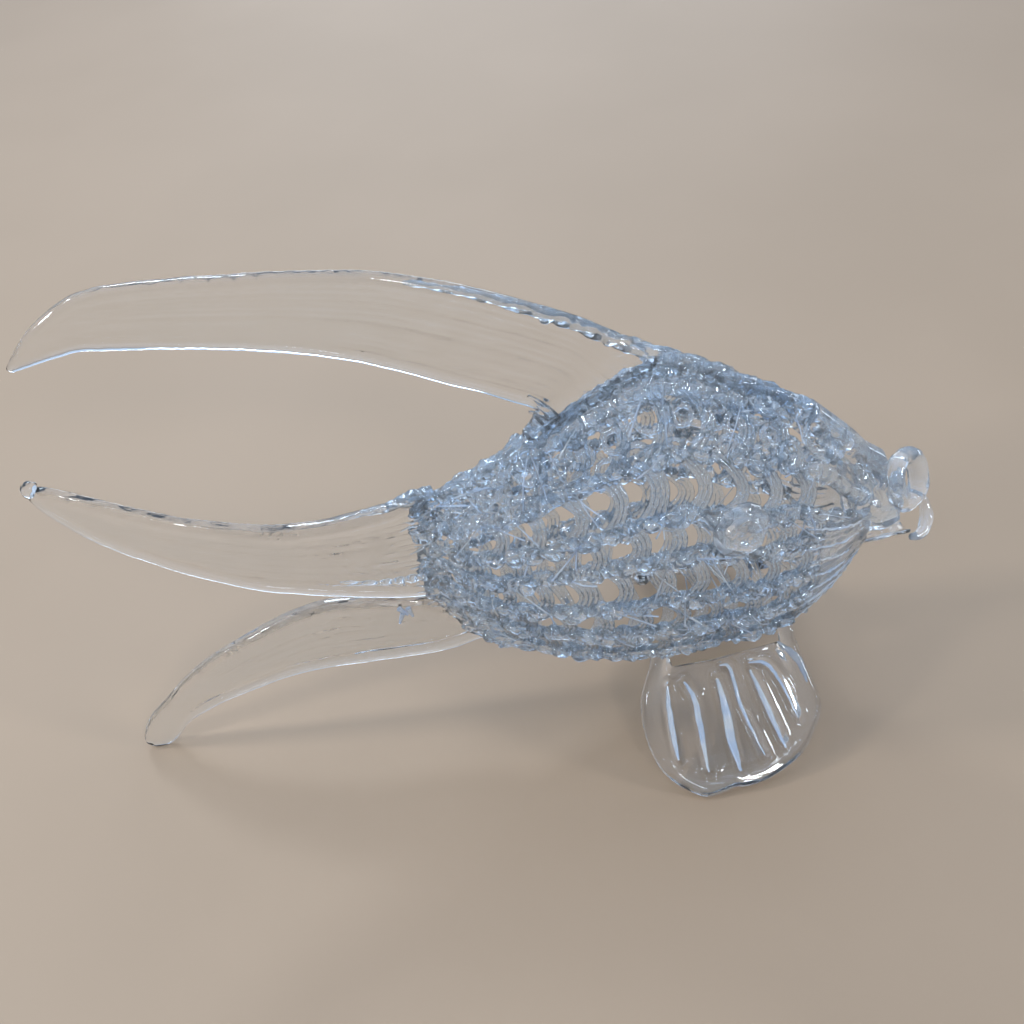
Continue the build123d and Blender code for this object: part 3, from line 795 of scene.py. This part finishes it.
random = Random(blade["seed"])
threads = bladeThreads(dorsalPlace, dorsal["rows"], dorsal["thick"], dorsal["count"], random)
clear("dorsal_blade", flamed(threadMesh(threads), blade), "dorsal_fin")
threads = bladeThreads(tailPlace, tail["upper"], tail["thick"], tail["count"], random)
clear("upper_tail_blade", flamed(threadMesh(threads), blade), "upper_tail_lobe")
threads = bladeThreads(tailPlace, tail["lower"], tail["thick"], tail["count"], random)
clear("lower_tail_blade", onTable(flamed(threadMesh(threads), blade)), "lower_tail_lobe")

crest = dict(
    path=(
        (-0.385, -0.2), (-0.285, -0.045), (-0.205, 0.09), (-0.14, 0.185), (-0.067, 0.29), (0.0, 0.405),
        (0.067, 0.515), (0.16, 0.642), (0.24, 0.74), (0.32, 0.815),
    ),
    radii=(0.9, 1.1, 1.3, 1.35, 1.2, 0.95, 0.75, 0.6, 0.45, 0.3), steps=60,
    seed=43, strands=3, turns=4, apartShare=0.45, thickShare=0.55, lumps=range(2, 44, 2),
    lumpSpans=(1, (-0.6, 0.6), (-0.9, 0.3)), aside=(-0.6, 0.6), drop=(-0.5, 0.1), lumpLong=0.9,
    lumpThick=(0.45, 0.7), voxel=0.18, flow=4, uneven=0.12, unevenSize=1.1,
)


def crestThreads(random):
    # leading strand: threads twisted round each other, with lumps where it climbs the ridge
    threads, steps = [], crest["steps"]
    path = [dorsalPlace(*smoothRow(crest["path"], k / steps)) for k in range(steps + 1)]
    for j in range(crest["strands"]):
        points, radii = [], []
        for k, point in enumerate(path):
            full = smoothShare(crest["radii"], k / steps)
            angle = 2 * pi * (crest["turns"] * k / steps + j / crest["strands"])
            points.append(point + (sideWay * cos(angle) + upWay * sin(angle)) * (full * crest["apartShare"]))
            radii.append(full * crest["thickShare"])
        threads.append((points, radii))
    for k in crest["lumps"]:
        full = smoothShare(crest["radii"], k / steps)
        way = heading(random, *crest["lumpSpans"])
        aside = sideWay * random.uniform(*crest["aside"]) + upWay * random.uniform(*crest["drop"])
        thick = full * random.uniform(*crest["lumpThick"])
        threads.append(blob(path[k] + aside, way, full * crest["lumpLong"], thick))
    return threads


spun("crest_strand", flamed(threadMesh(crestThreads(Random(crest["seed"]))), crest), "dorsal_crest")

spikes = dict(
    paths=(
        ((6.4, -0.3, 51.9), (5.9, -0.1, 53.3), (4.7, 0, 55.0), (3.6, 0, 56.1)),
        ((6.2, 0, 51.2), (5.0, 0, 52.3), (4.2, 0, 53.0), (3.5, 0, 53.4)),
    ),
    radii=((1.1, 0.6, 0.35, 0.2), (1.1, 0.6, 0.3, 0.2)), seed=47, voxel=0.14, flow=3,
)
random, threads = Random(spikes["seed"]), []
for path, radii in zip(spikes["paths"], spikes["radii"]):
    threads.append(bent([Vector((x + shiftX, y, z)) for x, y, z in path], radii, random))
clear("back_spikes", melted(threadMesh(threads), spikes["voxel"], spikes["flow"]), "dorsal_spines")

twist = dict(
    path=((-10.6, 30.2), (-14.0, 30.0), (-18.0, 30.1), (-23.0, 31.2)), y=-1.9, turns=3.5, steps=40,
    radius=0.42, fade=0.75, sides=4, voxel=0.13, flow=2,
)


def twistThreads():
    # two threads wound round each other, thinner towards the tip
    threads, steps = [], twist["steps"]
    for j in (0, 1):
        path, radii = [], []
        for k in range(steps + 1):
            x, z = smoothRow(twist["path"], k / steps)
            angle = pi * (2 * twist["turns"] * k / steps + j)
            radius = twist["radius"] * (1 - twist["fade"] * k / steps)
            aside = (sideWay * cos(angle) + upWay * sin(angle)) * radius
            path.append(Vector((x + shiftX, twist["y"], z)) + aside)
            radii.append(radius)
        threads.append((path, radii))
    return threads


mesh = threadMesh(twistThreads(), twist["sides"])
spun("twisted_thread", melted(mesh, twist["voxel"], twist["flow"]), "tail_thread")

chips = dict(  # x and z of both ends of each chip
    ends=((-16.6, 24.0, -15.6, 22.6), (-15.4, 23.8, -15.0, 22.2), (-16.2, 23.0, -16.9, 21.2)),
    y=(-1.4, -1.5), radii=(0.4, 0.2),
)
threads = []
for x, z, endX, endZ in chips["ends"]:
    start, end = chips["y"]
    path = [Vector((x + shiftX, start, z)), Vector((endX + shiftX, end, endZ))]
    threads.append((path, chips["radii"]))
frostedAndSheen("tail_chips", threadMesh(threads), "lower_tail_lobe")

bead = dict(voxel=0.15, flow=8)
clear("tail_bead", melted(merged("upper_tail_bead"), bead["voxel"], bead["flow"]), "upper_tail_bead")
print("blades drawn")


# Pelvic fins: pressed discs with a round rim and fanned grooves

pelvic = dict(
    width=23.8, length=18.6, splay=45.0, rootX=25.902, rootY=8.0, rootZ=12.902,
    steps=60, middleShare=0.4, rimRadius=1.05, rimInset=0.85,
    rim=(
        (-0.41, -0.18), (-0.425, -0.02), (-0.513, 0.262), (-0.5, 0.581), (-0.412, 0.837), (-0.256, 1.0),
        (-0.168, 1.0), (-0.05, 0.965), (0.004, 0.975), (0.151, 0.93), (0.34, 0.785), (0.441, 0.605),
        (0.487, 0.459), (0.462, 0.256), (0.395, -0.03), (0.36, -0.24),
    ),
    grooves=(
        ((-8.4, 3.0), (-8.6, 6.0), (-8.5, 10.0), (-8.3, 13.0)),
        ((-6.1, 2.8), (-5.1, 5.0), (-4.8, 9.0), (-4.5, 15.2)),
        ((-1.7, 2.9), (-1.1, 7.0), (-0.9, 11.0), (-0.2, 15.6)),
        ((-1.0, 1.2), (0.3, 1.9), (1.0, 7.0), (3.3, 14.0)),
        ((2.9, 2.4), (4.5, 7.7), (6.2, 13.4)),
        ((2.9, 1.4), (5.1, 1.8), (6.6, 4.4), (8.4, 9.6)),
        ((7.2, -0.8), (8.6, 0.6), (9.6, 2.4), (10.2, 5.0)),
    ),
    thinFrom=0.6, thinOver=1.4, thin=0.28, neckLong=4, neckThin=0.55, topFrom=0.3, bellBase=2.718,
    grooveHalf=0.42, grooveDepth=0.85, lipRise=0.28, lipAt=0.95, lipHalf=0.3, voxel=0.17, flow=4,
)


def pelvicAxes():
    lean = radians(pelvic["splay"])
    start = Vector((pelvic["rootX"] + shiftX, -pelvic["rootY"], pelvic["rootZ"]))
    return start, Vector((0, -cos(lean), -sin(lean))), Vector((0, -sin(lean), cos(lean)))


def reachTo(line, x, y):
    # distance from a point to a bent line
    nearest = 99.0
    for (x1, y1), (x2, y2) in zip(line, line[1:]):
        dx, dy = x2 - x1, y2 - y1
        share = min(max(((x - x1) * dx + (y - y1) * dy) / (dx * dx + dy * dy), 0), 1)
        nearest = min(nearest, (x - x1 - dx * share) ** 2 + (y - y1 - dy * share) ** 2)
    return nearest ** 0.5


def bell(distance, width):
    return pelvic["bellBase"] ** -((distance / width) ** 2)


def pelvicRim():
    # middle line of the rim, as places across and along the disc
    steps = pelvic["steps"]
    middle = Vector((0, pelvic["middleShare"] * pelvic["length"]))
    line = []
    for across, along in [smoothRow(pelvic["rim"], k / steps) for k in range(steps + 1)]:
        spot = Vector((across * pelvic["width"], along * pelvic["length"]))
        line.append(spot + (middle - spot).normalized() * (pelvic["rimRadius"] * pelvic["rimInset"]))
    return line


def pressed(line, x, y, lift):
    # how far the press moved a spot: thinner inside the rim, with grooves and their lips on top
    inside = min(max((reachTo(line, x, y) - pelvic["thinFrom"]) / pelvic["thinOver"], 0), 1)
    if inside == 0:
        return 0
    top = 1 - min(max(y / pelvic["neckLong"], 0), 1)  # between the two necks it runs out to a film
    rise = -(pelvic["thin"] + pelvic["neckThin"] * top) * lift * inside
    if lift > pelvic["topFrom"]:
        near = min(reachTo(groove, x, y) for groove in pelvic["grooves"])
        rise -= pelvic["grooveDepth"] * bell(near, pelvic["grooveHalf"]) * inside
        rise += pelvic["lipRise"] * bell(near - pelvic["lipAt"], pelvic["lipHalf"]) * inside
    return rise


def pelvicMesh():
    start, down, out = pelvicAxes()
    line = pelvicRim()
    rim = [start + foreWay * x + down * y for x, y in line]
    tube = threadMesh([(rim, [pelvic["rimRadius"]] * len(rim))])
    mesh = melted(joined(merged("right_pelvic_fin"), tube), pelvic["voxel"], pelvic["flow"])
    for vertex in mesh.vertices:
        place = vertex.co - start
        vertex.co += out * pressed(line, place.x, place.dot(down), place.dot(out))
    return onTable(mesh)


highlightRidges = dict(
    radii=(0.38, 0.42, 0.6, 0.26, 0.48, 0.26, 0.42), seed=61, back=0.1, lift=0.25, rise=0.47,
    startShare=0.4, middleShare=(0.75, 1.1), endShare=0.35, wander=0.05,
)


def ridgeHighlightMesh():
    # raised ridges along the grooves, as the press left them; their pale frosted glass is painted highlight
    # for the light on the groove edges
    start, down, out = pelvicAxes()
    random, threads = Random(highlightRidges["seed"]), []
    for groove, full in zip(pelvic["grooves"], highlightRidges["radii"]):
        path = []
        for x, y in groove:
            lift = highlightRidges["lift"] + highlightRidges["rise"] * min(abs(y) / pelvic["neckLong"], 1)
            path.append(start + foreWay * (x - highlightRidges["back"]) + down * y + out * lift)
        middle = [full * random.uniform(*highlightRidges["middleShare"]) for spot in groove[2:]]
        radii = [full * highlightRidges["startShare"]] + middle + [full * highlightRidges["endShare"]]
        threads.append(bent(path, radii, random, highlightRidges["wander"]))
    return threadMesh(threads)


disc, highlightRibs = pelvicMesh(), ridgeHighlightMesh()
otherDisc, otherHighlightRibs = otherSide(disc), otherSide(highlightRibs)
frostedAndSheen("right_pelvic_highlight_ribs", highlightRibs, "right_pelvic_fin")
frostedAndSheen("left_pelvic_highlight_ribs", otherHighlightRibs, "left_pelvic_fin")
clear("right_pelvic_disc", disc, "right_pelvic_fin")
clear("left_pelvic_disc", otherDisc, "left_pelvic_fin")
print("pelvic fins pressed")


# Eyes: clear dabs with a swirl

eye = dict(
    x=26.0, turn=0.385, lift=1.1, dome=2.1, domeFall=0.55, domeRadius=3.9, sink=0.35,
    swirl=2.2, swirlStart=0.55, swirlGrow=0.45, firstTurn=0.1, turns=0.85, steps=20, thick=0.4,
    voxel=0.17, flow=7, uneven=0.2, unevenSize=1.8,
)


def eyeMesh():
    way, steps = outward(eye["x"], eye["turn"]), eye["steps"]
    middle = skin(eye["x"], eye["turn"], -1, eye["lift"])
    first = way.cross(upWay).normalized()
    second = way.cross(first)
    path = []
    for k in range(steps + 1):
        angle = 2 * pi * (eye["firstTurn"] + eye["turns"] * k / steps)
        radius = eye["swirl"] * (eye["swirlStart"] + eye["swirlGrow"] * k / steps)
        height = eye["dome"] * (1 - eye["domeFall"] * (radius / eye["domeRadius"]) ** 2) - eye["sink"]
        path.append(middle + first * (radius * cos(angle)) + second * (radius * sin(angle)) + way * height)
    swirl = threadMesh([(path, [eye["thick"]] * (steps + 1))])
    return flamed(joined(merged("right_eye"), swirl), eye)


dab = eyeMesh()
otherDab = otherSide(dab)
worked("right_eye_dab", dab, "right_eye")
worked("left_eye_dab", otherDab, "left_eye")
print("eyes set")


# Face: lips, forehead, mouth, jaw and chin

lips = dict(swing=-50.0, thick=0.92, steps=28, sides=5)
upperLip = dict(
    center=(50.18, -0.4, 33.9), radius=3.2, tilt=22.0, turns=(0, 360), narrow=0.8, more=0.1, swell=0.45,
    voxel=0.15, flow=4, uneven=0.2, unevenSize=1.8,
)
lowerLip = dict(
    center=(50.899, -2.0, 29.0), radius=2.9, tilt=35.0, turns=(50.0, 220.0), narrow=1.0, endShare=0.45,
    swell=0.55, voxel=0.15, flow=4, uneven=0.15, unevenSize=1.8,
)


def lipMesh(lip, thick):
    # ring or crescent of one thread, turned to the fish's right; thick gives the radius along it
    lean, swing = radians(lip["tilt"]), radians(lips["swing"])
    ahead = Vector((cos(swing), sin(swing), 0))
    aside = Vector((-sin(swing), cos(swing), 0))
    rise = upWay * cos(lean) - ahead * sin(lean)
    middle, steps = Vector(lip["center"]) + foreWay * shiftX, lips["steps"]
    first, last = lip["turns"]
    turns = [radians(first + (last - first) * k / steps) for k in range(steps + 1)]
    path = [middle + (aside * (lip["narrow"] * sin(a)) + rise * cos(a)) * lip["radius"] for a in turns]
    return flamed(threadMesh([(path, [thick(k / steps) for k in range(steps + 1)])], lips["sides"]), lip)


def upperThick(share):
    return lips["thick"] + upperLip["more"] + upperLip["swell"] * abs(sin(2 * pi * share))


def lowerThick(share):
    return lips["thick"] * (lowerLip["endShare"] + lowerLip["swell"] * sin(pi * share))


worked("upper_lip_loop", lipMesh(upperLip, upperThick), "upper_lip")
worked("lower_lip_crescent", lipMesh(lowerLip, lowerThick), "lower_lip")

forehead = dict(rear=36.2, front=46.6, radii=(1.7, 1.75, 1.8, 1.7, 1.5), sides=6, voxel=0.2, flow=10)
rear, front, steps = forehead["rear"], forehead["front"], len(forehead["radii"]) - 1
path = [skin(rear + (front - rear) * k / steps, 0) for k in range(steps + 1)]
mesh = joined(merged("forehead_rod"), threadMesh([(path, forehead["radii"])], forehead["sides"]))
worked("forehead_bar", melted(mesh, forehead["voxel"], forehead["flow"]), "forehead_rod")

mouth = dict(
    seed=59, folds=34, x=(43.4, 47.6), turn=(0.06, 0.42), spans=((-0.4, 0.8), 0, -1), lift=(-0.1, 0.4),
    long=(1.0, 2.4), thick=(0.35, 0.6), voxel=0.18, flow=3, uneven=0.25, unevenSize=1.5,
)
random, folds = Random(mouth["seed"]), []
for k in range(mouth["folds"]):
    x, turn = random.uniform(*mouth["x"]), random.uniform(*mouth["turn"])
    side, way = random.choice((-1, 1)), heading(random, *mouth["spans"])
    spot = skin(x, turn, side, random.uniform(*mouth["lift"]))
    folds.append(blob(spot, way, random.uniform(*mouth["long"]), random.uniform(*mouth["thick"])))
spun("mouth_mass", flamed(joined(merged("mouth_root"), threadMesh(folds)), mouth), "mouth_root")

for word, side in (("right", -1), ("left", 1)):
    mesh = joined(merged(f"{word}_jaw_plate"), threadMesh(jawThreads(side, Random(jaw["seed"]))))
    worked(f"{word}_jaw", flamed(mesh, jaw), f"{word}_jaw_plate")
    # pale frosted streaks: painted highlight on the jaw sheet
    highlightStreaks = threadMesh(highlightStreakThreads(side, Random(jaw["streakSeed"])))
    frostedAndSheen(f"{word}_jaw_highlight_streaks", highlightStreaks, f"{word}_jaw_plate")

chin = dict(voxel=0.18, flow=16, uneven=0.15, unevenSize=1.5)
clear("chin_film", flamed(merged("chin"), chin), "chin")
print("face shaped")


# Stage: camera, floor and lights

view = dict(
    target=Vector((shiftX, 0, 37.5)), distance=150, elevation=45, roll=8, lens=42.19, sensor=36, nearest=0.01,
)


def addCamera():
    lift, roll = radians(view["elevation"]), radians(view["roll"])
    ahead = Vector((0, cos(lift), -sin(lift)))
    right = foreWay * cos(roll) - Vector((0, sin(lift), cos(lift))) * sin(roll)
    above = right.cross(ahead)
    data = bpy.data.cameras.new("camera")
    data.lens, data.sensor_width, data.clip_start = view["lens"], view["sensor"], view["nearest"]
    camera = bpy.data.objects.new("camera", data)
    scene.collection.objects.link(camera)
    turn = Matrix((right, above, -ahead)).transposed().to_4x4()
    camera.matrix_world = Matrix.Translation((view["target"] - ahead * view["distance"]) * mm) @ turn
    scene.camera = camera


lampAim = Vector((0, 0, 0.03))
lamps = (  # name, place, size, power and colour
    ("window", (-0.12, 0.34, 0.36), (0.12, 0.08), 0.65, (0.78, 0.89, 1.0)),
    ("leftWindow", (-0.34, 0.04, 0.34), (0.06, 0.06), 0.85, (0.86, 0.93, 1.0)),
    ("left", (-0.40, -0.14, 0.22), (0.06, 0.06), 0.7, (0.84, 0.92, 1.0)),
    ("right", (0.40, -0.16, 0.17), (0.06, 0.06), 0.65, (0.84, 0.92, 1.0)),
    ("front", (0.12, -0.34, 0.36), (0.05, 0.05), 0.4, (0.9, 0.95, 1.0)),
    ("lowBack", (0.04, 0.46, 0.11), (0.30, 0.08), 0.3, (0.84, 0.92, 1.0)),
    ("lowRight", (0.42, 0.12, 0.10), (0.20, 0.08), 0.3, (0.84, 0.92, 1.0)),
)


def addLamp(name, place, size, power, shade):
    data = bpy.data.lights.new(name, "AREA")
    data.shape, data.size, data.size_y = "RECTANGLE", size[0], size[1]
    data.energy, data.color = power, shade
    lamp = bpy.data.objects.new(name, data)
    scene.collection.objects.link(lamp)
    lamp.location = Vector(place)
    lamp.rotation_euler = (lampAim - Vector(place)).to_track_quat("-Z", "Y").to_euler()


table = dict(
    half=3.0, squares=4, grainScale=14.0, grainDetail=3.0, roughness=0.6,
    shades=((0.3, (0.3, 0.205, 0.128)), (0.7, (0.318, 0.218, 0.138))),
)


def addFloor():
    bm = bmesh.new()
    bmesh.ops.create_grid(bm, x_segments=table["squares"], y_segments=table["squares"], size=table["half"])
    mesh = bpy.data.meshes.new("floor")
    bm.to_mesh(mesh)
    bm.free()
    floor = bpy.data.objects.new("floor", mesh)
    scene.collection.objects.link(floor)
    material = bpy.data.materials.new("paleTable")
    tree = Tree(material)
    shade = tree.ramp(tree.noise((1, 1, 1), table["grainScale"], table["grainDetail"]), table["shades"])
    shader = tree.node("ShaderNodeBsdfPrincipled", None, Base_Color=shade, Roughness=table["roughness"])
    tree.node("ShaderNodeOutputMaterial", None, shader)
    mesh.materials.append(material)


room = dict(
    back=0.2, above=0.48, level=0.3, strength=0.85,
    shades=(
        (0.0, (0.12, 0.12, 0.13)), (0.35, (0.34, 0.38, 0.44)),
        (0.54, (0.64, 0.8, 1.02)), (0.78, (1.05, 1.4, 1.95)),
    ),
)


def addWorld():
    # a broad soft skylight above and behind the fish, and a darker room low in front of it
    world = bpy.data.worlds.new("room")
    scene.world = world
    tree = Tree(world)
    way = tree.node("ShaderNodeTexCoord", None, out="Generated")
    back = tree.node("ShaderNodeSeparateXYZ", None, way, out="Y")
    above = tree.node("ShaderNodeSeparateXYZ", None, way, out="Z")
    shade = tree.ramp(back * room["back"] + above * room["above"] + room["level"], room["shades"])
    light = tree.node("ShaderNodeBackground", None, Color=shade, Strength=room["strength"])
    tree.node("ShaderNodeOutputWorld", None, light)


addCamera()
addFloor()
addWorld()
for lamp in lamps:
    addLamp(*lamp)
scene.view_settings.view_transform = "Standard"
scene.cycles.max_bounces = 32
scene.cycles.transmission_bounces = 32
print("stage set")
